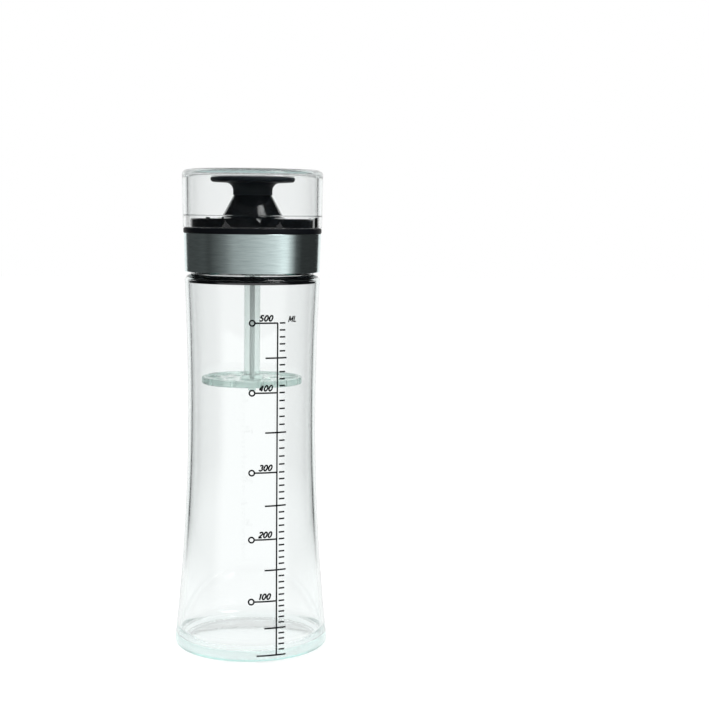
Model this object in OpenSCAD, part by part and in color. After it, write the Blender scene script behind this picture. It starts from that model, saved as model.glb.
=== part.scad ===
// Salad dressing shaker bottle. A waisted glass bottle takes a push-in pourer head.
// A plunger with a perforated disc slides through the head and stirs the dressing.
// A clear cap drops over the knob and stands on the gasket of the head.
// Millimetres, +Z up. The origin is the centre of the ring that the bottle stands on.
// The front, which carries the printed scale, faces -Y.

/* [Bottle] */
// Radius of the foot where the rounded heel ends
foot_r = 38.15; // [37:0.05:39]
// Radius of the rounded heel
heel_r = 3.4; // [2.5:0.1:4]
// Radius at the waist
waist_r = 31.75; // [31:0.05:32.5]
// Height of the waist
waist_z = 118; // [110:1:126]
// Radius at the shoulder
shoulder_r = 33.4; // [33:0.05:33.8]
// Height of the flat ledge on the shoulder
ledge_z = 186.2; // [186:0.1:186.5]
// Radius of the rounded edge of the ledge
ledge_round = 2.8; // [2.2:0.1:3]
// Outer radius of the neck that the collar hides
neck_r = 30.3; // [30:0.05:30.3]
// Height of the rim of the neck
rim_z = 205.4; // [204.5:0.1:205.4]
// Thickness of the glass wall
glass_t = 2.1; // [1.8:0.05:2.2]
// Height of the glass floor inside, at its lowest
floor_z = 4.2; // [3.8:0.1:5]
// Height of the hollow under the base
punt_h = 2.6; // [1.5:0.1:3]

/* [Head] */
// Height of the lower edge of the steel collar
collar_low_z = 187.5; // [187:0.1:188]
// Outer radius of the collar at its lower edge
collar_low_r = 33.3; // [33.1:0.05:33.6]
// Outer radius of the collar at its upper edge
collar_top_r = 33.85; // [33.6:0.05:34]
// Thickness of the collar's steel
collar_t = 0.6; // [0.5:0.05:0.8]
// Height of the gasket ring that the cap stands on
gasket_h = 2.5; // [2:0.1:3]
// Outer radius of the gasket ring
gasket_r = 34.05; // [33.9:0.05:34.3]
// Outer radius of the deck inside the cap
deck_r = 30.7; // [30.4:0.1:31]
// Height of the deck above the gasket ring
deck_h = 4.8; // [4.5:0.1:5.2]
// Radius of the chimney at its foot
chimney_foot_r = 14.3; // [13.5:0.1:15]
// Radius of the chimney at its top
chimney_top_r = 9.7; // [9.5:0.1:10]
// Height of the top of the chimney
chimney_z = 225.3; // [224.5:0.1:226]
// Bearing of the pouring spout, right of the front
spout_turn = 10.5; // [-30:0.5:45]
// Half the width of the spout's V where it leaves the deck
spout_half_w = 5.2; // [4.5:0.1:5.6]

/* [Plunger] */
// Diameter of the clear sleeve of the rod
rod_d = 8; // [7.6:0.1:8.4]
// Diameter of the steel core of the rod
core_d = 1.8; // [1.6:0.1:2.4]
// Diameter of the mixing disc
disc_d = 49.8; // [48:0.2:52]
// Height of the underside of the mixing disc
disc_z = 132.3; // [128:0.1:140]
// Height of the rim of the mixing disc
disc_h = 3.3; // [3:0.1:4]
// Holes in the outer ring of the mixing disc
disc_holes = 12; // [10:1:14]
// Diameter of the knob
knob_d = 41.6; // [38:0.2:44]
// Height of the top of the knob
knob_z = 234.5; // [234:0.1:234.8]
// Radius of the knob's neck
knob_neck_r = 9.7; // [9.4:0.1:10]

/* [Cap] */
// Outer radius of the cap at its rim
cap_rim_r = 34.3; // [34.2:0.05:34.6]
// Outer radius of the cap at its top
cap_top_r = 34.7; // [34.5:0.05:35]
// Height of the top of the cap
cap_z = 237.6; // [237.5:0.1:238.5]
// Thickness of the cap's wall
cap_t = 2.4; // [2.2:0.1:2.6]
// Width of the lugs inside the cap's rim
lug_w = 7.4; // [6:0.1:8]

/* [Hidden] */
$fn = 120;
eps = 0.01;

// Arcs of the bottle's outline
arc_steps = 14;
round_steps = 6;
heel_z = heel_r;
shoulder_z = ledge_z - ledge_round;
lower_arc_r = bulge_radius(waist_z - heel_z, foot_r - waist_r);
upper_arc_r = bulge_radius(shoulder_z - waist_z, shoulder_r - waist_r);
heel_end_z = heel_z + 3;
shoulder_start_z = shoulder_z - 3;
round_reach = 15;
bearing_in_r = 33;
bearing_out_r = foot_r - heel_r;
inner_heel_r = 6;
inner_floor_r = wall_r(floor_z + inner_heel_r) - glass_t - inner_heel_r;
floor_dome = 1.2;
bore_r = neck_r - 2;
rim_round = 0.7;
ledge_under_z = ledge_z - glass_t;
ledge_fillet = 0.5;

// Heights in the head
collar_top_z = rim_z + 1.1;
deck_z = collar_top_z + gasket_h;
deck_top_z = deck_z + deck_h;
deck_plate = 2.2;
deck_skirt = 2.7;
chimney_flare = 3.4;
flare_end = -155;
deck_bevel = 0.5;
top_bevel = 0.4;
chimney_wall = 2.2;
chimney_boss_z = chimney_z - 6;
wiper_h = 2.4;
liner_r = neck_r + 0.35;
liner_low_z = collar_low_z + collar_t + 0.2;
liner_gap = 0.02;
liner_land = 4;
liner_relief = 0.4;
liner_lead_in = 0.9;
hem_r = 31.4;
collar_bend = 0.3;
collar_lip = 0.25;

// Plug inside the neck
plug_r = bore_r - 0.3;
plug_t = 2;
plug_low_z = 182.6;
seal_groove_r = plug_r - 1;
seal_hub_top_z = ledge_under_z + 1;
fin_r = shoulder_r - glass_t - 0.2;
upper_fin_r = fin_r - 0.7;
fin_t = 0.55;
fin_drop = 0.25;
spider_z = 192;
spider_h = 6;
spokes = 3;
spoke_w = 2.4;
guide_r = 5.4;
guide_wall = 1.6;
running_gap = 0.06;
spigot_r = plug_r - plug_t - 0.05;
spigot_low_z = rim_z - 5;
spigot_t = 1.8;

// Pouring slot and spout
slot_in_r = 17;
slot_out_r = 22.6;
slot_half_angle = 17;
spout_low_z = deck_z + 0.4;
spout_len = 9;
spout_slope = atan((deck_top_z - spout_low_z) / (deck_r - slot_out_r));
vent_r = 1.8;
vent_ring_r = 20;

// Lugs of the cap and the slots they drop into, right of the front
lug_turns = [-19.5, 100.5, 220.5];
lug_in_r = 30;
lug_h = 5.2;
lug_gap = 0.45;
cap_rim_z = deck_z + 0.25;
socket_r = 32.9;
socket_top_z = 215.2;
cap_inner_r = cap_rim_r + 0.1 - cap_t;
cap_round = 2.6;
cap_inner_round = 1.6;
cap_plate = cap_z - knob_z - 0.7;

// Plunger
rod_r = rod_d / 2;
core_r = core_d / 2;
disc_r = disc_d / 2;
disc_web = 1.8;
disc_bevel = 0.4;
disc_turn = -20.6;
rim_w = 2.2;
hole_r = 3.1;
hole_ring_r = 18.4;
inner_hole_r = 2.4;
inner_hole_ring_r = 10.9;
notch_r = 1.3;
hub_r = 6;
hub_z = disc_z - 0.8;
hub_top_z = disc_z + disc_h + 0.7;
nut_r = 4.4;
nut_nose_r = 1.95;
nut_bevel = 0.7;
nut_flange_h = 1.2;
nut_cap_h = 1.5;
nut_low_z = 127.9;
knob_edge = 1.4;
knob_fillet = 3.8;
knob_under_z = knob_z - 2 * knob_edge;
knob_dish = 0.7;
sleeve_top_z = chimney_z + 2.2;
insert_r = 3.1;
insert_top_z = knob_z - 2;

// Radius of the arc that leaves the waist line by the given depth over the given length
function bulge_radius(length, depth) = (length * length + depth * depth) / (2 * depth);

// Outer radius of the glass wall at a height
function wall_r(z) =
    let (r = z < waist_z ? lower_arc_r : upper_arc_r)
    waist_r + r - sqrt(r * r - (z - waist_z) * (z - waist_z));

// Outer radius of the collar at a height
function collar_r(z) =
    collar_low_r + (collar_top_r - collar_low_r) * (z - collar_low_z) / (collar_top_z - collar_low_z);

// Points along an arc, from one angle to another
function arc(x, y, r, from, to, steps = round_steps) =
    [for (i = [0 : steps]) let (a = from + (to - from) * i / steps) [x + r * cos(a), y + r * sin(a)]];

// Points up or down the wall between two heights, set in from the outside by a distance
function wall_points(from, to, inset) =
    [for (i = [0 : arc_steps]) let (z = from + (to - from) * i / arc_steps) [wall_r(z) - inset, z]];

// Points across a shallow dome of the given height, from the axis outwards
function dome_points(z, height, reach, steps = 8) =
    [for (i = [0 : steps]) let (t = i / steps) [reach * t, z + height * (1 - t * t)]];

// A copy turned to the given bearing, right of the front
module at_bearing(turn) {
    rotate([0, 0, turn]) children();
}

// A tube between two heights
module tube(outer, inner, low, high) {
    translate([0, 0, low]) difference() {
        cylinder(r = outer, h = high - low);
        translate([0, 0, -1]) cylinder(r = inner, h = high - low + 2);
    }
}

module glass_bottle() {
    outside = concat(
        [[bearing_in_r, 0]],
        arc(bearing_out_r, heel_r, heel_r, -90, 0),
        wall_points(heel_end_z, shoulder_z, 0),
        arc(shoulder_r - ledge_round, shoulder_z, ledge_round, round_reach, 90),
        arc(neck_r + ledge_fillet, ledge_z + ledge_fillet, ledge_fillet, -90, -180, 3),
        arc(neck_r - rim_round, rim_z - rim_round, rim_round, 0, 90, 4));
    inside = concat(
        arc(bore_r + rim_round, rim_z - rim_round, rim_round, 90, 180, 4),
        arc(bore_r + ledge_fillet, ledge_under_z + ledge_fillet, ledge_fillet, -180, -90, 3),
        arc(shoulder_r - ledge_round, shoulder_z, ledge_round - glass_t, 90, 0, 4),
        wall_points(shoulder_start_z, floor_z + inner_heel_r, glass_t),
        arc(inner_floor_r, floor_z + inner_heel_r, inner_heel_r, -round_reach, -90));
    under = dome_points(0, punt_h, bearing_in_r);
    floor_top = dome_points(floor_z, floor_dome, inner_floor_r);
    bottom = [for (i = [0 : len(under) - 2]) under[i]];
    top = [for (i = [len(floor_top) - 2 : -1 : 0]) floor_top[i]];
    color([0.78, 0.9, 0.86, 0.35]) rotate_extrude() polygon(concat(bottom, outside, inside, top));
}

module steel_collar() {
    // A spun sleeve whose lower edge turns in under the liner
    inner_low_r = collar_r(collar_low_z + collar_t) - collar_t;
    color("silver") rotate_extrude() polygon([
        [hem_r, collar_low_z],
        [collar_low_r - collar_bend, collar_low_z],
        [collar_low_r, collar_low_z + collar_bend],
        [collar_top_r, collar_top_z - collar_lip],
        [collar_top_r - collar_lip, collar_top_z],
        [collar_top_r - collar_t, collar_top_z],
        [inner_low_r, collar_low_z + collar_t],
        [hem_r, collar_low_z + collar_t]]);
}

module collar_liner() {
    // Two lands inside centre the head on the neck, and the wall between them is relieved
    outer_low_r = collar_r(liner_low_z) - collar_t - liner_gap;
    outer_top_r = collar_r(collar_top_z) - collar_t - liner_gap;
    color([0.09, 0.1, 0.1]) rotate_extrude() polygon([
        [liner_r + liner_lead_in, liner_low_z],
        [outer_low_r, liner_low_z],
        [outer_top_r, collar_top_z],
        [liner_r, collar_top_z],
        [liner_r, collar_top_z - liner_land],
        [liner_r + liner_relief, collar_top_z - liner_land - 1],
        [liner_r + liner_relief, liner_low_z + liner_land + 1],
        [liner_r, liner_low_z + liner_land],
        [liner_r, liner_low_z + liner_lead_in + liner_relief]]);
}

module cap_gasket() {
    // The rim of the cap stands on the flat top, and a bead round the edge catches drips
    edge = 0.6;
    color([0.05, 0.05, 0.055]) rotate_extrude() polygon(concat(
        [[deck_r, collar_top_z]],
        arc(gasket_r - edge, collar_top_z + edge, edge, -90, 0, 4),
        arc(gasket_r - edge, deck_z - edge, edge, 0, 90, 4),
        [[deck_r, deck_z]]));
}

module deck_profile() {
    // Plate, skirt and chimney as one turned shell, with the rod's guide at the top
    slope_r = chimney_foot_r - chimney_wall;
    top_r = chimney_top_r - chimney_wall;
    polygon(concat(
        [[deck_r - deck_skirt, collar_top_z]],
        [[deck_r, collar_top_z]],
        [[deck_r, deck_top_z - deck_bevel]],
        [[deck_r - deck_bevel, deck_top_z]],
        arc(chimney_foot_r + chimney_flare, deck_top_z + chimney_flare, chimney_flare, -90, flare_end),
        [[chimney_top_r, chimney_z - top_bevel]],
        [[chimney_top_r - top_bevel, chimney_z]],
        [[guide_r, chimney_z]],
        [[guide_r, chimney_boss_z]],
        [[top_r, chimney_boss_z]],
        [[top_r, chimney_boss_z - wiper_h]],
        [[top_r + 1.6, chimney_boss_z - wiper_h]],
        [[slope_r, deck_top_z - 0.6]],
        [[slope_r + 1, deck_top_z - deck_plate]],
        [[deck_r - deck_skirt, deck_top_z - deck_plate]]));
}

module spout_wedge(half_w, depth, len) {
    // A V-shaped trough along +Y, its keel on the axis
    translate([0, len, 0]) rotate([90, 0, 0])
        linear_extrude(height = len) polygon([[0, 0], [half_w, depth], [-half_w, depth]]);
}

module ring_slot(inner, outer, half_angle, low, high) {
    // A slot with round ends that follows a circle, centred on the front
    mid = (inner + outer) / 2;
    end_r = (outer - inner) / 2;
    translate([0, 0, low]) {
        rotate([0, 0, -90 - half_angle])
            rotate_extrude(angle = 2 * half_angle)
                translate([inner, 0]) square([outer - inner, high - low]);
        for (side = [-1, 1])
            rotate([0, 0, side * half_angle]) translate([0, -mid, 0]) cylinder(r = end_r, h = high - low);
    }
}

module pourer_deck() {
    slot_low_z = deck_top_z - deck_plate - 1;
    block_w = 2 * spout_half_w + 3;
    color([0.06, 0.065, 0.07]) difference() {
        union() {
            rotate_extrude() deck_profile();
            // Inner ledge and the spigot that enters the plug
            tube(deck_r - deck_skirt + eps, spigot_r - spigot_t, collar_top_z, collar_top_z + 1.5);
            tube(spigot_r, spigot_r - spigot_t, spigot_low_z, collar_top_z + 1.5);
            // Floor under the spout
            intersection() {
                tube(deck_r - eps, slot_out_r, collar_top_z + 1, deck_top_z - eps);
                at_bearing(spout_turn) translate([-block_w / 2, -deck_r - 1, collar_top_z])
                    cube([block_w, 12, deck_h + 3]);
            }
        }
        at_bearing(spout_turn) {
            ring_slot(slot_in_r, slot_out_r, slot_half_angle, slot_low_z, deck_top_z + 1);
            translate([0, -deck_r, spout_low_z]) rotate([spout_slope, 0, 0]) translate([0, -2, 0])
                spout_wedge(spout_half_w * 2, deck_h * 2, spout_len + 4);
        }
        // Air vent behind the chimney
        at_bearing(spout_turn + 180) translate([0, -vent_ring_r, slot_low_z]) cylinder(r = vent_r, h = 5);
        // Slots that the lugs of the cap drop into
        for (turn = lug_turns)
            at_bearing(turn) translate([-lug_w / 2 - lug_gap, -deck_r - 2, deck_z])
                cube([lug_w + 2 * lug_gap, deck_r + 2 - lug_in_r + lug_gap + 0.9, deck_h + 1]);
    }
}

module plug_sleeve() {
    hub_outer_r = guide_r + guide_wall;
    color([0.86, 0.92, 0.9, 0.4]) {
        difference() {
            union() {
                rotate_extrude() polygon([
                    [plug_r - plug_t, plug_low_z],
                    [seal_groove_r, plug_low_z],
                    [seal_groove_r, seal_hub_top_z],
                    [plug_r, seal_hub_top_z],
                    [plug_r, rim_z],
                    [liner_r, rim_z],
                    [liner_r, collar_top_z],
                    [plug_r - plug_t, collar_top_z]]);
                // Spokes that hold the lower guide of the rod
                translate([0, 0, spider_z]) {
                    cylinder(r = hub_outer_r, h = spider_h);
                    for (i = [0 : spokes - 1])
                        rotate([0, 0, i * 360 / spokes]) translate([-spoke_w / 2, 0, 0])
                            cube([spoke_w, plug_r - plug_t + 0.8, spider_h]);
                }
            }
            translate([0, 0, spider_z - 1]) cylinder(r = guide_r, h = spider_h + 2);
        }
    }
}

module lip_seal() {
    // A hub in the plug's groove with two fins that spread under the ledge of the glass
    hub_out_r = plug_r - 0.2;
    low_z = plug_low_z;
    color([0.03, 0.03, 0.035]) rotate_extrude() polygon([
        [seal_groove_r, low_z],
        [hub_out_r, low_z],
        [fin_r - 0.3, low_z - fin_drop],
        [fin_r, low_z - fin_drop + 0.3],
        [hub_out_r + 0.2, low_z + fin_t],
        [hub_out_r + 0.2, ledge_under_z - fin_t],
        [upper_fin_r, ledge_under_z - fin_t],
        [upper_fin_r, ledge_under_z],
        [bore_r + ledge_fillet, ledge_under_z],
        [hub_out_r, ledge_under_z - 0.05],
        [hub_out_r, seal_hub_top_z],
        [seal_groove_r, seal_hub_top_z]]);
}

module upper_bush() {
    color([0.9, 0.9, 0.88]) tube(guide_r, rod_r + running_gap, chimney_boss_z, chimney_z - 0.5);
}

module lower_bush() {
    color([0.9, 0.9, 0.88]) tube(guide_r, rod_r + running_gap, spider_z, spider_z + spider_h);
}

module rod_wiper() {
    // A soft ring under the upper bush keeps dressing out of the chimney
    color([0.03, 0.03, 0.035]) rotate_extrude() polygon([
        [rod_r + running_gap, chimney_boss_z - wiper_h + 0.9],
        [rod_r + 1.2, chimney_boss_z - wiper_h],
        [chimney_top_r - chimney_wall, chimney_boss_z - wiper_h],
        [chimney_top_r - chimney_wall, chimney_boss_z],
        [rod_r + 1, chimney_boss_z],
        [rod_r + running_gap, chimney_boss_z - 0.7]]);
}

module knob() {
    rim_r = knob_d / 2 - knob_edge;
    color([0.08, 0.085, 0.095]) rotate_extrude() polygon(concat(
        [[rod_r, chimney_z]],
        [[knob_neck_r - top_bevel, chimney_z]],
        [[knob_neck_r, chimney_z + top_bevel]],
        arc(knob_neck_r + knob_fillet, knob_under_z - 0.3 - knob_fillet, knob_fillet, 180, 90),
        arc(rim_r, knob_under_z + knob_edge, knob_edge, -90, 90, 8),
        [for (p = [6 : -1 : 0]) let (t = p / 6) [(rim_r - 3) * t, knob_z - knob_dish * (1 - t * t)]],
        [[0, insert_top_z]],
        [[insert_r, insert_top_z]],
        [[insert_r, sleeve_top_z]],
        [[rod_r, sleeve_top_z]]));
}

module knob_insert() {
    groove = 0.35;
    span = insert_top_z - sleeve_top_z;
    color([0.72, 0.6, 0.32]) rotate_extrude() polygon([
        [core_r, sleeve_top_z],
        [insert_r, sleeve_top_z],
        [insert_r, sleeve_top_z + span * 0.4],
        [insert_r - groove, sleeve_top_z + span * 0.45],
        [insert_r - groove, sleeve_top_z + span * 0.55],
        [insert_r, sleeve_top_z + span * 0.6],
        [insert_r, insert_top_z],
        [core_r, insert_top_z]]);
}

module rod_core() {
    color([0.6, 0.62, 0.62]) translate([0, 0, nut_low_z + nut_cap_h])
        cylinder(r = core_r, h = insert_top_z - nut_low_z - nut_cap_h);
}

module rod_sleeve() {
    color([0.85, 0.92, 0.9, 0.4]) tube(rod_r, core_r, hub_top_z, sleeve_top_z);
}

module mixer_disc() {
    web_low_z = disc_z + (disc_h - disc_web) / 2;
    web_top_z = web_low_z + disc_web;
    hole_step = 360 / disc_holes;
    color([0.85, 0.92, 0.9, 0.4]) difference() {
        rotate_extrude() polygon([
            [core_r, hub_z],
            [hub_r - 0.6, hub_z],
            [hub_r, web_low_z],
            [disc_r - rim_w, web_low_z],
            [disc_r - rim_w + 0.3, disc_z],
            [disc_r - disc_bevel, disc_z],
            [disc_r, disc_z + disc_bevel],
            [disc_r, disc_z + disc_h - disc_bevel],
            [disc_r - disc_bevel, disc_z + disc_h],
            [disc_r - rim_w + 0.3, disc_z + disc_h],
            [disc_r - rim_w, web_top_z],
            [hub_r, web_top_z],
            [rod_r + 0.8, hub_top_z],
            [core_r, hub_top_z]]);
        for (i = [0 : disc_holes - 1]) {
            at_bearing(disc_turn + (i + 0.5) * hole_step) translate([0, -hole_ring_r, web_low_z - 1])
                cylinder(r = hole_r, h = disc_web + 2);
            at_bearing(disc_turn + i * hole_step) translate([0, -disc_r - 0.3, disc_z - 1])
                cylinder(r = notch_r, h = disc_h + 2);
        }
        for (i = [0 : disc_holes / 2 - 1])
            at_bearing(disc_turn + i * 2 * hole_step) translate([0, -inner_hole_ring_r, web_low_z - 1])
                cylinder(r = inner_hole_r, h = disc_web + 2);
    }
}

module hub_nut() {
    color([0.85, 0.92, 0.9, 0.4]) rotate_extrude() polygon([
        [0, nut_low_z],
        [nut_nose_r - nut_bevel, nut_low_z],
        [nut_nose_r, nut_low_z + nut_bevel],
        [nut_nose_r, hub_z - nut_flange_h],
        [nut_r - 0.3, hub_z - nut_flange_h],
        [nut_r, hub_z - nut_flange_h + 0.3],
        [nut_r, hub_z],
        [core_r, hub_z],
        [core_r, nut_low_z + nut_cap_h],
        [0, nut_low_z + nut_cap_h]]);
}

module clear_cap() {
    plate_z = cap_z - cap_plate;
    color([0.88, 0.94, 0.93, 0.3]) union() {
        rotate_extrude() polygon(concat(
            [[socket_r + 0.3, cap_rim_z]],
            [[cap_rim_r - 0.3, cap_rim_z]],
            [[cap_rim_r, cap_rim_z + 0.3]],
            arc(cap_top_r - cap_round, cap_z - cap_round, cap_round, 0, 90),
            [[0, cap_z]],
            [[0, plate_z]],
            arc(cap_inner_r - cap_inner_round, plate_z - cap_inner_round, cap_inner_round, 90, 0),
            [[cap_inner_r, socket_top_z]],
            [[socket_r, socket_top_z - 0.4]]));
        for (turn = lug_turns)
            at_bearing(turn) intersection() {
                tube(socket_r + 0.5, lug_in_r, cap_rim_z + 0.1, cap_rim_z + lug_h);
                translate([-lug_w / 2, -socket_r - 1, cap_rim_z]) cube([lug_w, 6, lug_h]);
            }
    }
}

glass_bottle();
steel_collar();
collar_liner();
cap_gasket();
pourer_deck();
plug_sleeve();
lip_seal();
upper_bush();
lower_bush();
rod_wiper();
knob();
knob_insert();
rod_core();
rod_sleeve();
mixer_disc();
hub_nut();
clear_cap();
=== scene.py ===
import math

import bmesh
import bpy
from mathutils import Matrix, Vector


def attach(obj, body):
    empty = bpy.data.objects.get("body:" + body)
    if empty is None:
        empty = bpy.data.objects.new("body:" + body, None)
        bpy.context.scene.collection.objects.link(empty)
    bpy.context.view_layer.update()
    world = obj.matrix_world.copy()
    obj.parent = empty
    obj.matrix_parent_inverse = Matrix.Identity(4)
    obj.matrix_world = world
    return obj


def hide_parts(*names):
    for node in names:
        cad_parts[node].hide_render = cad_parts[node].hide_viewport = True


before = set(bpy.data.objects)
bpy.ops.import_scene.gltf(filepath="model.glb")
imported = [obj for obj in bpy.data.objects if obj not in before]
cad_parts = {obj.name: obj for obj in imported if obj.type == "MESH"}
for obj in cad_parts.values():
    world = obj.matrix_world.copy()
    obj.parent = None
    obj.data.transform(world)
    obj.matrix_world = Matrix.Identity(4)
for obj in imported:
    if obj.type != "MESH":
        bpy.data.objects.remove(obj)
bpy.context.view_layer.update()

# Millimetres, as in the part's source. MM turns them into the frame's metres.
MM = 0.001

# The camera, read from the photograph's frame of 709 by 709
CAMERA_DISTANCE = 745.5
CAMERA_HEIGHT = 218.9
CAMERA_LENS = 76.2
SENSOR_WIDTH = 36.0
CAMERA_PITCH = 5.54
CAMERA_TURN = 3.92
CAMERA_ROLL = 0.6

# Glass bottle
FOOT_R = 38.15
HEEL_R = 3.4
WAIST_R = 31.75
WAIST_Z = 118.0
SHOULDER_R = 33.4
LEDGE_Z = 186.2
LEDGE_ROUND = 2.8
NECK_R = 30.3
BORE_R = 28.3
RIM_Z = 205.4
RIM_ROUND = 0.7
GLASS_T = 2.1
FLOOR_Z = 4.2
FLOOR_DOME = 1.2
PUNT_H = 2.6
BEARING_IN_R = 33.0
INNER_HEEL_R = 6.0
LEDGE_FILLET = 0.5
DIMPLES = 72
DIMPLE_R = 34.9
DIMPLE_REACH = 1.1
DIMPLE_DEPTH = 0.35

# Collar, gasket and deck
COLLAR_LOW_Z = 187.5
COLLAR_TOP_Z = 206.5
COLLAR_LOW_R = 33.3
COLLAR_TOP_R = 33.85
COLLAR_T = 0.6
HEM_R = 31.4
GASKET_R = 34.05
DECK_R = 30.7
DECK_Z = 209.0

# Cap
CAP_RIM_Z = 209.25
CAP_RIM_R = 34.3
CAP_TOP_R = 34.7
CAP_Z = 237.6
CAP_PLATE_Z = 235.2
CAP_ROUND = 2.6
CAP_INNER_R = 32.0
CAP_INNER_ROUND = 1.6
SOCKET_R = 32.9
SOCKET_TOP_Z = 215.2
LUG_TURNS = (-19.5, 100.5, 220.5)
LUG_W = 7.4
LUG_H = 5.2
LUG_IN_R = 30.0

# Plunger
ROD_R = 4.0
ROD_LOW_Z = 136.3
ROD_TOP_Z = 227.5
KNOB_R = 20.8
KNOB_TOP_Z = 234.5
KNOB_LOW_Z = 225.3
KNOB_NECK_R = 9.7
KNOB_EDGE = 1.4
KNOB_FILLET = 3.8
KNOB_DISH = 0.7
NUT_TOP_Z = 131.5

# Lip seal
PLUG_R = 28.0
SEAL_LOW_Z = 182.6
SEAL_GROOVE_R = 27.0
FIN_R = 31.1
FIN_T = 0.55

# Printed scale: millilitres and the heights of their marks
SCALE_HEIGHTS = {0: 3.8, 100: 29.8, 200: 59.7, 300: 92.1, 400: 130.7, 500: 164.3}
SCALE_STEP = 10
SPINE_X = 12.4
PRINT_LIFT = 0.06
PRINT_T = 0.03


# Maths on shader sockets

class Signal:
    """A socket of a shader tree that can be used in a Python expression."""

    def __init__(self, tree, socket):
        self.tree = tree
        self.socket = socket

    def math(self, operation, *others):
        node = self.tree.nodes.new("ShaderNodeMath")
        node.operation = operation
        for slot, value in zip(node.inputs, (self, *others)):
            feed(self.tree, slot, value)
        return Signal(self.tree, node.outputs[0])

    def __add__(self, other):
        return self.math("ADD", other)

    __radd__ = __add__

    def __sub__(self, other):
        return self.math("SUBTRACT", other)

    def __rsub__(self, other):
        return (self * -1) + other

    def __mul__(self, other):
        return self.math("MULTIPLY", other)

    __rmul__ = __mul__

    def __gt__(self, other):
        return self.math("GREATER_THAN", other)

    def clamped(self):
        return self.math("MAXIMUM", 0).math("MINIMUM", 1)


def feed(tree, slot, value):
    """Links a signal to a socket, or sets the socket's own value."""
    if isinstance(value, Signal):
        tree.links.new(value.socket, slot)
    else:
        slot.default_value = value


class Nodes:
    """Adds nodes to one shader tree."""

    def __init__(self, tree):
        self.tree = tree
        tree.nodes.clear()

    def node(self, kind, settings=None, output=0, **values):
        """A node of any type, its settings first and then its sockets' values or links."""
        made = self.tree.nodes.new("ShaderNode" + kind)
        for key, value in (settings or {}).items():
            if key == "stops":
                set_stops(made.color_ramp, value)
            else:
                setattr(made, key, value)
        for key, value in values.items():
            slot = made.inputs[int(key[1:])] if key[0] == "_" else made.inputs[key.replace("_", " ")]
            feed(self.tree, slot, value)
        return Signal(self.tree, made.outputs[output])

    def ray(self, name):
        """An output of Light Path, by its name."""
        return self.node("LightPath", output=name)

    def parts(self, vector):
        """The X, Y and Z of a vector."""
        split = self.node("SeparateXYZ", Vector=vector).socket.node
        return [Signal(self.tree, axis) for axis in split.outputs]


class Finish(Nodes):
    """A material under construction, named for what it finishes."""

    def __init__(self, name):
        self.material = bpy.data.materials.new(name)
        self.material.use_nodes = True
        super().__init__(self.material.node_tree)
        self.output = self.tree.nodes.new("ShaderNodeOutputMaterial")

    def surface(self, signal):
        self.tree.links.new(signal.socket, self.output.inputs["Surface"])
        return self

    def volume(self, signal):
        self.tree.links.new(signal.socket, self.output.inputs["Volume"])
        return self

    def place(self, scale=1.0, stretch=(1, 1, 1)):
        """Object coordinates in millimetres times a scale."""
        at = self.node("TexCoord", output="Object")
        return self.node("Mapping", Vector=at, Scale=[k * scale / MM for k in stretch])

    def around(self, turns, climb):
        """Coordinates that run round the axis and up it."""
        x, y, z = self.parts(self.node("TexCoord", output="Object"))
        return self.node("CombineXYZ", X=y.math("ARCTAN2", x) * turns, Y=z * climb)


def set_stops(ramp, stops):
    """Places the stops of a colour ramp, given as position and grey or colour."""
    for extra in range(len(stops) - 2):
        ramp.elements.new(0.5)
    for element, (position, colour) in zip(ramp.elements, stops):
        element.position = position
        element.color = (*colour, 1) if len(colour) == 3 else colour


def clear_finish(name, ior, tint, density, wave, wave_size, roughness=0.0, clearness=1.0, milk=(1, 1, 1),
                 leak=None):
    """A clear moulded material with its tint in the thickness and faint waves in the surface.
    Milk is the colour of the share that is not clear. Lamps shine through, and leak(r, z) is the
    share of the trapped light that leaves at a place."""
    finish = Finish(name)
    waves = finish.node("TexNoise", Vector=finish.place(1 / wave_size), Detail=1.0, Scale=1.0)
    normal = finish.node("Bump", Height=waves, Strength=1.0, Distance=wave * MM)
    shader = finish.node("BsdfPrincipled", Base_Color=(*milk, 1), Roughness=roughness,
                         IOR=ior, Transmission_Weight=clearness, Normal=normal)
    passed = finish.ray("Is Shadow Ray")
    if leak:
        x, y, z = finish.parts(finish.place())
        trapped = finish.node("Fresnel", IOR=ior) > 0.98
        passed = (passed + trapped * leak((x * x + y * y).math("SQRT"), z)).clamped()
    clear = finish.node("BsdfTransparent")
    finish.surface(finish.node("MixShader", _0=passed, _1=shader, _2=clear))
    finish.volume(finish.node("VolumeAbsorption", Color=(*tint, 1), Density=density))
    return finish.material


def bottle_glass():
    return clear_finish("soda_glass", 1.48, (0.6, 0.92, 0.88), 24.0, 0.012, 14.0,
                        leak=lambda r, z: (HEEL_R + 2 - z > 0) * 0.6)


def cap_plastic():
    return clear_finish("cap_plastic", 1.45, (0.65, 0.92, 0.9), 18.0, 0.006, 9.0,
                        leak=lambda r, z: (z > CAP_PLATE_Z - 1) * 0.4)


def disc_plastic():
    return clear_finish("disc_plastic", 1.4, (0.7, 0.88, 0.84), 30.0, 0.02, 3.0, 0.1, 0.7, (0.8, 0.9, 0.87))


def rod_plastic():
    return clear_finish("rod_plastic", 1.4, (0.75, 0.9, 0.86), 16.0, 0.02, 3.0, 0.05, 0.75, (0.9, 0.97, 0.95))


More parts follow.
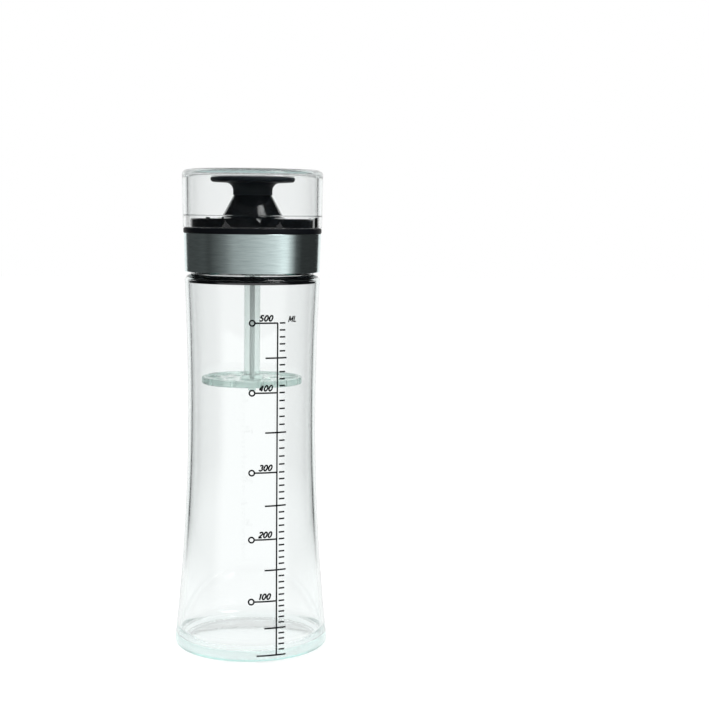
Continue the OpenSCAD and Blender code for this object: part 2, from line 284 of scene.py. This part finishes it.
def brushed_steel():
    """Steel brushed round the collar: fine streaks in colour, roughness and relief."""
    finish = Finish("brushed_steel")
    fine = finish.node("TexNoise", Vector=finish.around(5.0, 2600.0), Detail=4.0, Scale=1.0)
    broad = finish.node("TexNoise", Vector=finish.around(4.0, 1000.0), Detail=2.0, Scale=1.0)
    streak = fine * 0.6 + broad * 0.4
    colour = finish.node("ValToRGB", {"stops": [
        (0.3, (0.58, 0.7, 0.7)),
        (0.7, (0.78, 0.92, 0.91))]}, Fac=streak)
    normal = finish.node("Bump", Height=fine, Strength=0.6, Distance=0.006 * MM)
    shader = finish.node("BsdfPrincipled", Base_Color=colour, Metallic=1.0,
                         Roughness=streak * 0.12 + 0.14, Anisotropic=0.75, Anisotropic_Rotation=0.25, Normal=normal)
    return finish.surface(shader).material


def core_steel():
    finish = Finish("core_steel")
    grain = finish.node("TexNoise", Vector=finish.place(3.0, (1, 1, 4)), Detail=2.0, Scale=1.0)
    colour = finish.node("ValToRGB", {"stops": [
        (0.3, (0.44, 0.49, 0.48)),
        (0.75, (0.6, 0.65, 0.64))]}, Fac=grain)
    shader = finish.node("BsdfPrincipled", Base_Color=colour, Metallic=0.3, Roughness=0.4)
    return finish.surface(shader).material


def dark_finish(name, colour, roughness, grain, depth, gloss=0.5, coat=0.0):
    """A dark moulded material with a fine grain."""
    finish = Finish(name)
    speckle = finish.node("TexNoise", Vector=finish.place(grain), Detail=2.0, Scale=1.0)
    cloud = finish.node("TexNoise", Vector=finish.place(0.12), Detail=2.0, Scale=1.0)
    shade = finish.node("ValToRGB", {"stops": [
        (0.25, tuple(0.8 * c for c in colour)),
        (0.75, tuple(1.2 * c for c in colour))]}, Fac=cloud)
    normal = finish.node("Bump", Height=speckle, Strength=1.0, Distance=depth * MM)
    shader = finish.node("BsdfPrincipled", Base_Color=shade, Roughness=cloud * 0.08 + roughness,
                         Specular_IOR_Level=gloss, Coat_Weight=coat, Coat_Roughness=0.05, Normal=normal)
    return finish.surface(shader).material


def brass_finish():
    finish = Finish("turned_brass")
    rings = finish.node("TexNoise", Vector=finish.around(1.0, 6000.0), Detail=2.0, Scale=1.0)
    colour = finish.node("ValToRGB", {"stops": [
        (0.3, (0.6, 0.45, 0.2)),
        (0.7, (0.8, 0.64, 0.34))]}, Fac=rings)
    shader = finish.node("BsdfPrincipled", Base_Color=colour, Metallic=1.0, Roughness=0.3)
    return finish.surface(shader).material


def bush_plastic():
    finish = Finish("bush_plastic")
    cloud = finish.node("TexNoise", Vector=finish.place(0.4), Detail=2.0, Scale=1.0)
    colour = finish.node("ValToRGB", {"stops": [
        (0.3, (0.72, 0.72, 0.7)),
        (0.7, (0.84, 0.84, 0.82))]}, Fac=cloud)
    shader = finish.node("BsdfPrincipled", Base_Color=colour, Roughness=0.45)
    return finish.surface(shader).material


def print_ink():
    finish = Finish("print_ink")
    cloud = finish.node("TexNoise", Vector=finish.place(2.0), Detail=2.0, Scale=1.0)
    colour = finish.node("ValToRGB", {"stops": [
        (0.3, (0.003, 0.004, 0.005)),
        (0.8, (0.008, 0.009, 0.011))]}, Fac=cloud)
    shader = finish.node("BsdfPrincipled", Base_Color=colour, Roughness=0.5, Specular_IOR_Level=0.1)
    return finish.surface(shader).material


# Outlines

def arc(x, z, r, start, stop, steps):
    """Points along an arc, in degrees, both ends included."""
    turn = [math.radians(start + (stop - start) * i / steps) for i in range(steps + 1)]
    return [(x + r * math.cos(a), z + r * math.sin(a)) for a in turn]


def bulge_radius(length, depth):
    return (length * length + depth * depth) / (2 * depth)


LOWER_ARC_R = bulge_radius(WAIST_Z - HEEL_R, FOOT_R - WAIST_R)
UPPER_ARC_R = bulge_radius(LEDGE_Z - LEDGE_ROUND - WAIST_Z, SHOULDER_R - WAIST_R)


def wall_r(z):
    """Outer radius of the glass at a height."""
    r = LOWER_ARC_R if z < WAIST_Z else UPPER_ARC_R
    return WAIST_R + r - math.sqrt(r * r - (z - WAIST_Z) ** 2)


def wall(low, high, inset, steps=44):
    heights = [low + (high - low) * i / steps for i in range(steps + 1)]
    return [(wall_r(z) - inset, z) for z in heights]


def dome(z, height, reach, steps=14):
    return [(reach * i / steps, z + height * (1 - (i / steps) ** 2)) for i in range(steps + 1)]


def supported(outline, near=0.25, least=1.5):
    """Adds a point near both ends of each long run, so that its shading stays flat."""
    points = []
    for (ax, az), (bx, bz) in zip(outline, outline[1:]):
        points.append((ax, az))
        length = math.hypot(bx - ax, bz - az)
        if length > least:
            for t in (near / length, 1 - near / length):
                points.append((ax + (bx - ax) * t, az + (bz - az) * t))
    points.append(outline[-1])
    return points


# Meshes

def even_angles(count):
    return [2 * math.pi * i / count for i in range(count)]


def turned(name, outline, angles, closed=False, shift=None):
    """A turned mesh. An outline that is not closed starts and ends on the axis.
    shift(index, angle, r, z) may move a point, in millimetres."""
    verts = []
    rings = []
    for index, (r, z) in enumerate(outline):
        if r < 1e-6:
            rings.append([len(verts)] * len(angles))
            verts.append((0, 0, z * MM))
            continue
        ring = []
        for angle in angles:
            pr, pz = shift(index, angle, r, z) if shift else (r, z)
            ring.append(len(verts))
            verts.append((pr * math.sin(angle) * MM, -pr * math.cos(angle) * MM, pz * MM))
        rings.append(ring)
    faces = []
    pairs = list(zip(rings, rings[1:]))
    if closed:
        pairs.append((rings[-1], rings[0]))
    count = len(angles)
    for low, high in pairs:
        for i in range(count):
            j = (i + 1) % count
            corners = []
            for v in (low[i], low[j], high[j], high[i]):
                if v not in corners:
                    corners.append(v)
            faces.append(corners)
    return mesh_object(name, verts, faces)


def mesh_object(name, verts, faces, sharp=32):
    mesh = bpy.data.meshes.new(name)
    mesh.from_pydata(verts, [], faces)
    work = bmesh.new()
    work.from_mesh(mesh)
    bmesh.ops.recalc_face_normals(work, faces=work.faces)
    work.to_mesh(mesh)
    work.free()
    mesh.shade_smooth()
    mesh.set_sharp_from_angle(angle=math.radians(sharp))
    piece = bpy.data.objects.new(name, mesh)
    bpy.context.scene.collection.objects.link(piece)
    return piece


def fit(piece, body, slot, material, *nodes):
    """Finishes a piece, sets it on its body and hides the nodes it stands for."""
    piece.data.materials.clear()
    piece.data.materials.append(material)
    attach(piece, body)
    if nodes:
        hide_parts(*nodes)
    return piece


# Glass bottle and its printed scale

def bottle_outline():
    heel_end = 6.4
    shoulder_start = -2.9
    shoulder_z = LEDGE_Z - LEDGE_ROUND
    ledge_under = LEDGE_Z - GLASS_T
    inner_floor_r = wall_r(FLOOR_Z + INNER_HEEL_R) - GLASS_T - INNER_HEEL_R
    bearing_out_r = FOOT_R - HEEL_R
    flat = [BEARING_IN_R + 0.3, 33.7, 34.0, 34.3, 34.6]
    outside = dome(0, PUNT_H, BEARING_IN_R) + [(r, 0) for r in flat]
    outside += arc(bearing_out_r, HEEL_R, HEEL_R, -90, heel_end, 22)
    outside += wall(HEEL_R + 3, shoulder_z - 3, 0)
    outside += arc(SHOULDER_R - LEDGE_ROUND, shoulder_z, LEDGE_ROUND, shoulder_start, 90, 16)
    outside += arc(NECK_R + LEDGE_FILLET, LEDGE_Z + LEDGE_FILLET, LEDGE_FILLET, -90, -180, 5)
    outside += arc(NECK_R - RIM_ROUND, RIM_Z - RIM_ROUND, RIM_ROUND, 0, 90, 6)
    inside = arc(BORE_R + RIM_ROUND, RIM_Z - RIM_ROUND, RIM_ROUND, 90, 180, 6)
    inside += arc(BORE_R + LEDGE_FILLET, ledge_under + LEDGE_FILLET, LEDGE_FILLET, -180, -90, 5)
    inside += arc(SHOULDER_R - LEDGE_ROUND, shoulder_z, LEDGE_ROUND - GLASS_T, 90, shoulder_start, 8)
    inside += wall(shoulder_z - 2, FLOOR_Z + INNER_HEEL_R + 1, GLASS_T)
    inside += arc(inner_floor_r, FLOOR_Z + INNER_HEEL_R, INNER_HEEL_R, 5, -90, 18)
    inside += dome(FLOOR_Z, FLOOR_DOME, inner_floor_r)[-2::-1]
    return supported(outside + inside)


def dimple(index, angle, r, z):
    """Small dimples round the edge that the bottle stands on."""
    near = max(0.0, 1 - abs(r - DIMPLE_R) / DIMPLE_REACH)
    if z > 1.0 or near == 0:
        return r, z
    return r, z + DIMPLE_DEPTH * near * (0.5 + 0.5 * math.cos(DIMPLES * angle))


glass = bottle_glass()
bottle = turned("bottle_wall", bottle_outline(), even_angles(DIMPLES * 6), shift=dimple)
fit(bottle, "bottle", "clear_glass", glass, "glass_bottle")


def on_glass(s, z, lift):
    """The point on the glass at a distance round it from the front, and a height."""
    r = wall_r(z)
    angle = s / r
    return ((r + lift) * math.sin(angle) * MM, -(r + lift) * math.cos(angle) * MM, z * MM)


def curve(x, y, rx, ry, start, stop, steps=14):
    return [(px * rx + x, py * ry + y) for px, py in arc(0, 0, 1, start, stop, steps)]


# Letters as an advance and strokes, for a height of 1
LETTERS = {
    "0": (0.78, [curve(0.3, 0.5, 0.26, 0.44, 0, 360, 24)]),
    "1": (0.6, [[(0.28, 0.0), (0.28, 1.0)], [(0.3, 0.93), (0.1, 0.78)]]),
    "2": (0.78, [curve(0.3, 0.72, 0.25, 0.23, 170, -40) + [(0.06, 0.06)], [(0.02, 0.06), (0.6, 0.06)]]),
    "3": (0.78, [curve(0.3, 0.73, 0.23, 0.21, 160, -80), curve(0.3, 0.29, 0.26, 0.24, 80, -160)]),
    "4": (0.78, [[(0.44, 0.0), (0.44, 0.94)], [(0.44, 0.94), (0.02, 0.28)], [(0.02, 0.26), (0.62, 0.26)]]),
    "5": (0.78, [[(0.56, 0.94), (0.14, 0.94)], [(0.14, 0.97), (0.1, 0.55)],
                 curve(0.28, 0.31, 0.26, 0.26, 130, -150)]),
    "M": (1.0, [[(0.06, 0.0), (0.06, 1.0)], [(0.08, 0.96), (0.4, 0.2)], [(0.38, 0.2), (0.74, 0.96)],
                [(0.76, 1.0), (0.76, 0.0)]]),
    "L": (0.7, [[(0.08, 1.0), (0.08, 0.0)], [(0.08, 0.07), (0.55, 0.07)]]),
}


class Print:
    """Flat shapes wrapped on the glass and given the thickness of the ink."""

    def __init__(self):
        self.verts = []
        self.faces = []

    def strip(self, corners_at):
        """A strip between rows of two points (s, z)."""
        start = len(self.verts)
        for a, b in corners_at:
            self.verts += [a, b]
        for i in range(len(corners_at) - 1):
            k = start + 2 * i
            self.faces.append((k, k + 1, k + 3, k + 2))

    def line(self, s0, z0, s1, z1, width, steps=1):
        length = math.hypot(s1 - s0, z1 - z0)
        nx, nz = -(z1 - z0) / length * width / 2, (s1 - s0) / length * width / 2
        rows = []
        for i in range(steps + 1):
            s = s0 + (s1 - s0) * i / steps
            z = z0 + (z1 - z0) * i / steps
            rows.append(((s + nx, z + nz), (s - nx, z - nz)))
        self.strip(rows)

    def ring(self, s, z, r, width, steps=24):
        rows = []
        for i in range(steps + 1):
            a = 2 * math.pi * i / steps
            inner, outer = r - width / 2, r + width / 2
            rows.append(((s + inner * math.cos(a), z + inner * math.sin(a)),
                         (s + outer * math.cos(a), z + outer * math.sin(a))))
        self.strip(rows)

    def stroke(self, points, width):
        """A strip along a bent line."""
        rows = []
        for i, (s, z) in enumerate(points):
            (ax, az), (bx, bz) = points[max(i - 1, 0)], points[min(i + 1, len(points) - 1)]
            length = math.hypot(bx - ax, bz - az)
            nx, nz = -(bz - az) / length * width / 2, (bx - ax) / length * width / 2
            rows.append(((s + nx, z + nz), (s - nx, z - nz)))
        self.strip(rows)

    def word(self, text, s, z, height, width, slant=0.3):
        """Slanted letters whose lower left corner is at (s, z)."""
        for letter in text:
            advance, strokes = LETTERS[letter]
            for points in strokes:
                place = [(s + (x + slant * y) * height, z + y * height) for x, y in points]
                self.stroke(place, width)
            s += advance * height

    def piece(self, name):
        verts = [on_glass(s, z, PRINT_LIFT) for s, z in self.verts]
        made = mesh_object(name, verts, self.faces)
        thick = made.modifiers.new("ink", "SOLIDIFY")
        thick.thickness = PRINT_T * MM
        thick.offset = 1
        return made


def mark_height(volume):
    """Height of a mark, even between the hundreds as on the bottle."""
    low = min(volume // 100 * 100, 400)
    share = (volume - low) / 100
    return SCALE_HEIGHTS[low] + (SCALE_HEIGHTS[low + 100] - SCALE_HEIGHTS[low]) * share


def scale_print():
    ink = Print()
    ring_s, ring_r = 0.0, 1.3
    line_w = 0.76
    ink.line(SPINE_X, mark_height(500), SPINE_X, mark_height(0), line_w, steps=80)
    for volume in range(0, 501, SCALE_STEP):
        z = mark_height(volume)
        if volume % 100 == 0 and volume:
            ink.ring(ring_s, z, ring_r, line_w)
            ink.line(ring_s + ring_r, z, SPINE_X, z, line_w, steps=8)
            ink.word(str(volume), ring_s + 3.2, z + 0.9, 2.9, line_w)
            if volume < 500:
                ink.line(SPINE_X + 1.1, z, SPINE_X + 4.1, z, line_w, steps=2)
        elif volume % 50 == 0 and volume:
            ink.line(SPINE_X - 6.0, z, SPINE_X + 4.9, z, line_w, steps=8)
        elif volume:
            ink.line(SPINE_X + 1.1, z, SPINE_X + 4.1, z, line_w, steps=2)
    ink.line(SPINE_X + 1.1, mark_height(500), SPINE_X + 4.1, mark_height(500), line_w, steps=2)
    ink.line(2.7, mark_height(0), SPINE_X + 4.9, mark_height(0), line_w, steps=10)
    ink.word("ML", SPINE_X + 5.7, mark_height(500) + 0.3, 2.9, 0.62)
    return ink.piece("scale_print")


fit(scale_print(), "bottle", "black_silicone", print_ink())


# Head

def collar_outline():
    inner_low = COLLAR_LOW_R - COLLAR_T
    bend = 0.45
    return supported(
        [(HEM_R, COLLAR_LOW_Z + COLLAR_T), (HEM_R, COLLAR_LOW_Z)]
        + arc(COLLAR_LOW_R - bend, COLLAR_LOW_Z + bend, bend, -90, 0, 5)
        + arc(COLLAR_TOP_R - 0.25, COLLAR_TOP_Z - 0.25, 0.25, 0, 90, 4)
        + [(COLLAR_TOP_R - COLLAR_T, COLLAR_TOP_Z), (inner_low, COLLAR_LOW_Z + COLLAR_T)])


def gasket_outline():
    edge = 0.6
    return supported(
        [(DECK_R, COLLAR_TOP_Z)]
        + arc(GASKET_R - edge, COLLAR_TOP_Z + edge, edge, -90, 0, 6)
        + arc(GASKET_R - edge, DECK_Z - edge, edge, 0, 90, 6)
        + [(DECK_R, DECK_Z)])


def seal_outline():
    """The seal's upper fin is pressed into the underside of the ledge, so that it wets the glass."""
    hub_r = PLUG_R - 0.2
    ledge_under = LEDGE_Z - GLASS_T
    top = ledge_under + 0.06
    return [
        (SEAL_GROOVE_R, SEAL_LOW_Z), (hub_r, SEAL_LOW_Z), (FIN_R - 0.3, SEAL_LOW_Z - 0.25),
        (FIN_R - 0.05, SEAL_LOW_Z - 0.15), (FIN_R, SEAL_LOW_Z + 0.05),
        (hub_r + 0.2, SEAL_LOW_Z + FIN_T), (hub_r + 0.2, ledge_under - FIN_T),
        (FIN_R - 0.9, ledge_under - FIN_T), (FIN_R - 0.7, ledge_under - 0.35),
        (FIN_R - 0.7, top), (BORE_R + LEDGE_FILLET, top), (hub_r, ledge_under - 0.05),
        (hub_r, ledge_under + 1), (SEAL_GROOVE_R, ledge_under + 1)]


steel = brushed_steel()
silicone = dark_finish("black_silicone", (0.003, 0.004, 0.006), 0.4, 2.2, 0.01, gloss=0.1)
deck_plastic = dark_finish("deck_plastic", (0.002, 0.003, 0.004), 0.1, 0.5, 0.004, gloss=0.3, coat=0.6)
liner_plastic = dark_finish("liner_plastic", (0.02, 0.022, 0.024), 0.45, 1.5, 0.01)
knob_plastic = dark_finish("knob_plastic", (0.006, 0.01, 0.013), 0.5, 3.0, 0.012, gloss=0.15)

fit(turned("collar_sleeve", collar_outline(), even_angles(240), closed=True),
    "head", "brushed_steel", steel, "steel_collar")
fit(turned("gasket_ring", gasket_outline(), even_angles(240), closed=True),
    "head", "black_silicone", silicone, "cap_gasket")
fit(turned("seal_ring", seal_outline(), even_angles(240), closed=True),
    "head", "black_silicone", silicone, "lip_seal")


# Plunger

def knob_outline():
    rim_r = KNOB_R - KNOB_EDGE
    under = KNOB_TOP_Z - 2 * KNOB_EDGE
    fillet_z = under - 0.3 - KNOB_FILLET
    outline = [(0, KNOB_LOW_Z)]
    outline += arc(KNOB_NECK_R - 0.4, KNOB_LOW_Z + 0.4, 0.4, -90, 0, 4)
    outline += arc(KNOB_NECK_R + KNOB_FILLET, fillet_z, KNOB_FILLET, 180, 90, 14)
    outline += arc(rim_r, under + KNOB_EDGE, KNOB_EDGE, -90, 90, 16)
    outline += dome(KNOB_TOP_Z, -KNOB_DISH, rim_r - 2.0)[::-1]
    return supported(outline)


def rod_outline():
    return supported([(0, ROD_LOW_Z), (ROD_R - 0.2, ROD_LOW_Z), (ROD_R, ROD_LOW_Z + 0.2),
                      (ROD_R, ROD_TOP_Z), (0, ROD_TOP_Z)])


fit(turned("knob_body", knob_outline(), even_angles(160)), "plunger", "soft_touch_black",
    knob_plastic, "knob")
fit(turned("rod_clear", rod_outline(), even_angles(96)), "plunger", "clear_plastic", rod_plastic(),
    "rod_sleeve")


# Cap

def lug_shares(angle):
    """How far a point round the cap is inside a lug, from 0 to 1."""
    half = math.asin(LUG_W / 2 / SOCKET_R)
    ramp = math.radians(0.35)
    for turn in LUG_TURNS:
        off = abs((angle - math.radians(turn) + math.pi) % (2 * math.pi) - math.pi)
        if off < half + ramp / 2:
            return min(1.0, max(0.0, (half + ramp / 2 - off) / ramp))
    return 0.0


def cap_angles():
    half = math.asin(LUG_W / 2 / SOCKET_R)
    ramp = math.radians(0.35)
    extra = []
    for turn in LUG_TURNS:
        for side in (-1, 1):
            for edge in (half - ramp / 2, half + ramp / 2):
                extra.append((math.radians(turn) + side * edge) % (2 * math.pi))
    near = math.radians(0.3)
    plain = [a for a in even_angles(300) if all(abs(a - b) > near for b in extra)]
    return sorted(plain + extra)


def cap_outline():
    """The cap's outline, and the indices of its two lug rings."""
    foot = 0.3
    lug_low = CAP_RIM_Z + 0.1
    inside = [(0, CAP_PLATE_Z)]
    inside += arc(CAP_INNER_R - CAP_INNER_ROUND, CAP_PLATE_Z - CAP_INNER_ROUND, CAP_INNER_ROUND, 90, 0, 10)
    inside += [(CAP_INNER_R, SOCKET_TOP_Z + 0.2)]
    inside += arc(CAP_INNER_R + 0.2, SOCKET_TOP_Z + 0.2, 0.2, 180, 270, 3)
    inside += arc(SOCKET_R - 0.2, SOCKET_TOP_Z - 0.2, 0.2, 90, 0, 3)
    inside += [(SOCKET_R, lug_low + LUG_H)]
    inside = supported(inside)
    lug_rings = (len(inside), len(inside) + 1)
    inside += [(SOCKET_R, lug_low + LUG_H - 0.2), (SOCKET_R, lug_low + 0.3)]
    outside = [(SOCKET_R, lug_low + 0.1)]
    outside += arc(CAP_RIM_R - foot, CAP_RIM_Z + foot, foot, -110, 0, 5)
    outside += arc(CAP_TOP_R - CAP_ROUND, CAP_Z - CAP_ROUND, CAP_ROUND, 0, 90, 16)
    outside += [(0, CAP_Z)]
    return inside + supported(outside), lug_rings


def make_cap():
    outline, lug_rings = cap_outline()

    def lugs(index, angle, r, z):
        if index not in lug_rings:
            return r, z
        return r - (SOCKET_R - LUG_IN_R) * lug_shares(angle), z

    return turned("cap_shell", outline, cap_angles(), shift=lugs)


cap_clear = cap_plastic()
fit(make_cap(), "cap", "clear_plastic", cap_clear, "clear_cap")

# Nodes that keep their own mesh

bush_white = bush_plastic()
pale = disc_plastic()
KEPT_NODES = {
    "collar_liner": liner_plastic,
    "pourer_deck": deck_plastic,
    "plug_sleeve": cap_clear,
    "upper_bush": bush_white,
    "lower_bush": bush_white,
    "rod_wiper": silicone,
    "knob_insert": brass_finish(),
    "rod_core": core_steel(),
    "mixer_disc": pale,
    "hub_nut": pale,
}
for node_name, material in KEPT_NODES.items():
    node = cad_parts[node_name]
    node.data.materials.clear()
    node.data.materials.append(material)


# Stage, light and camera

# Behind the object is a white backdrop, and each side has a black flag. Bearings are shares of a
# turn: 0.5 is the front, 0.75 the right and 0 or 1 the back.
AMBIENT = 0.85
BACKDROP_HALF = 0.1
FLAG_BLUR = 0.008
ROOM_DIM = 0.02
CROSSINGS = 3
CEILING_SINES = (0.5, 0.75)
NEAR_FLOOR = (0.2, 0.4)
FRONT_FLOOR = (0.14, 0.19)
SATIN_ROOM = [
    (0.0, 1.0), (0.085, 1.0), (0.1, 0.06), (0.2, 0.06), (0.25, 0.07), (0.285, 0.05), (0.33, 0.11),
    (0.372, 0.19), (0.414, 0.37), (0.45, 0.42), (0.49, 0.49), (0.528, 0.58), (0.565, 0.66),
    (0.604, 0.76), (0.644, 1.0), (0.665, 1.0), (0.69, 0.5), (0.715, 0.1), (0.75, 0.03),
    (0.9, 0.03), (0.915, 1.0)]


def step_up(value, low, high):
    """From 0 at the low value to 1 at the high one."""
    return ((value - low) * (1 / (high - low))).clamped()


def bearing(x, y):
    """Direction round the object as a share of a turn, as above."""
    return x.math("ARCTAN2", y * -1) * (0.5 / math.pi) + 0.5


def room_light(nodes, turn, white=0, ceiling=0):
    """What a reflected or refracted ray sees at a bearing from the object, and whether a ray is one.
    Rays that went straight through the bottle see past the flags, so it stays clear."""
    off_back = 0.5 - (turn - 0.5).math("ABSOLUTE")
    backdrop = 1 - step_up(off_back, BACKDROP_HALF - FLAG_BLUR, BACKDROP_HALF + FLAG_BLUR)
    straight = (nodes.ray("Transmission Depth") > CROSSINGS) * (1 - nodes.ray("Glossy Depth")).clamped()
    clear = 1 - (1 - backdrop * (1 - ceiling)) * (1 - straight) * (1 - white) * (1 - ROOM_DIM)
    satin = nodes.node("ValToRGB", {"stops": [(at, (g, g, g)) for at, g in SATIN_ROOM]}, Fac=turn)
    mirror_ray = (nodes.ray("Is Transmission Ray") + nodes.ray("Is Singular Ray")).clamped()
    reflected = (mirror_ray + nodes.ray("Is Glossy Ray")).clamped()
    reflected = reflected * (1 - nodes.ray("Diffuse Depth")).clamped() * (1 - nodes.ray("Is Camera Ray"))
    return reflected, mirror_ray * clear + (1 - mirror_ray) * satin * (1 - ceiling)


def floor_finish():
    """White paint that keeps the shadow. Rays that met the object first see the room's light in it."""
    finish = Finish("floor_white")
    paint = finish.node("BsdfDiffuse", Color=(0.93, 0.93, 0.93, 1))
    glow = finish.node("Emission", Strength=finish.ray("Is Camera Ray") * FLOOR_GLOW)
    seen = finish.node("AddShader", _0=paint, _1=glow)
    place = finish.node("TexCoord", output="Object")
    x, y, z = finish.parts(place)
    turn = bearing(x, y)
    off_front = (turn - 0.5).math("ABSOLUTE")
    far = step_up((x * x + y * y).math("SQRT"), *NEAR_FLOOR) * step_up(off_front, *FRONT_FLOOR)
    reflected, light = room_light(finish, turn, white=1 - far)
    lit = finish.node("Emission", Strength=light)
    return finish.surface(finish.node("MixShader", _0=reflected, _1=seen, _2=lit)).material


def make_world():
    """White to the camera, plain soft light on the object, and the room in its reflections."""
    world = bpy.data.worlds.new("studio")
    world.use_nodes = True
    nodes = Nodes(world.node_tree)
    way = nodes.node("TexCoord", output="Generated")
    x, y, z = nodes.parts(way)
    camera = nodes.ray("Is Camera Ray")
    reflected, light = room_light(nodes, bearing(x, y), ceiling=step_up(z, *CEILING_SINES))
    strength = camera + (1 - camera) * (reflected * light + (1 - reflected) * AMBIENT)
    shade = nodes.node("Background", Color=(1, 1, 1, 1), Strength=strength)
    output = world.node_tree.nodes.new("ShaderNodeOutputWorld")
    world.node_tree.links.new(shade.socket, output.inputs["Surface"])
    bpy.context.scene.world = world


def soft_lamp(name, azimuth, elevation, distance, size, power):
    """A soft box aimed at the head. Azimuth 0 is the front and 90 the right."""
    lamp = bpy.data.lights.new(name, "AREA")
    lamp.shape = "RECTANGLE"
    lamp.size, lamp.size_y = size
    lamp.energy = power
    holder = bpy.data.objects.new(name, lamp)
    bpy.context.scene.collection.objects.link(holder)
    a, e = math.radians(azimuth), math.radians(elevation)
    back = Vector((math.sin(a) * math.cos(e), -math.cos(a) * math.cos(e), math.sin(e)))
    holder.location = Vector((0, 0, 0.15)) + back * distance
    holder.rotation_euler = (-back).to_track_quat("-Z", "Y").to_euler()
    return holder


FLOOR_HALF = 4.0
FLOOR_GLOW = 0.22
floor = mesh_object("floor", [(-FLOOR_HALF, -FLOOR_HALF, 0), (FLOOR_HALF, -FLOOR_HALF, 0),
                              (FLOOR_HALF, FLOOR_HALF, 0), (-FLOOR_HALF, FLOOR_HALF, 0)], [(0, 1, 2, 3)])
floor.data.materials.append(floor_finish())
make_world()
soft_lamp("key_box", 48, 45, 1.1, (0.4, 0.6), 3.8)

camera_data = bpy.data.cameras.new("photo_camera")
camera_data.lens = CAMERA_LENS
camera_data.sensor_width = SENSOR_WIDTH
camera = bpy.data.objects.new("photo_camera", camera_data)
bpy.context.scene.collection.objects.link(camera)
aim = (Matrix.Rotation(math.radians(-CAMERA_TURN), 4, "Z")
       @ Matrix.Rotation(math.radians(90 - CAMERA_PITCH), 4, "X")
       @ Matrix.Rotation(math.radians(CAMERA_ROLL), 4, "Z"))
camera.matrix_world = Matrix.Translation((0, -CAMERA_DISTANCE * MM, CAMERA_HEIGHT * MM)) @ aim
bpy.context.scene.camera = camera
bpy.context.scene.view_settings.view_transform = "Standard"
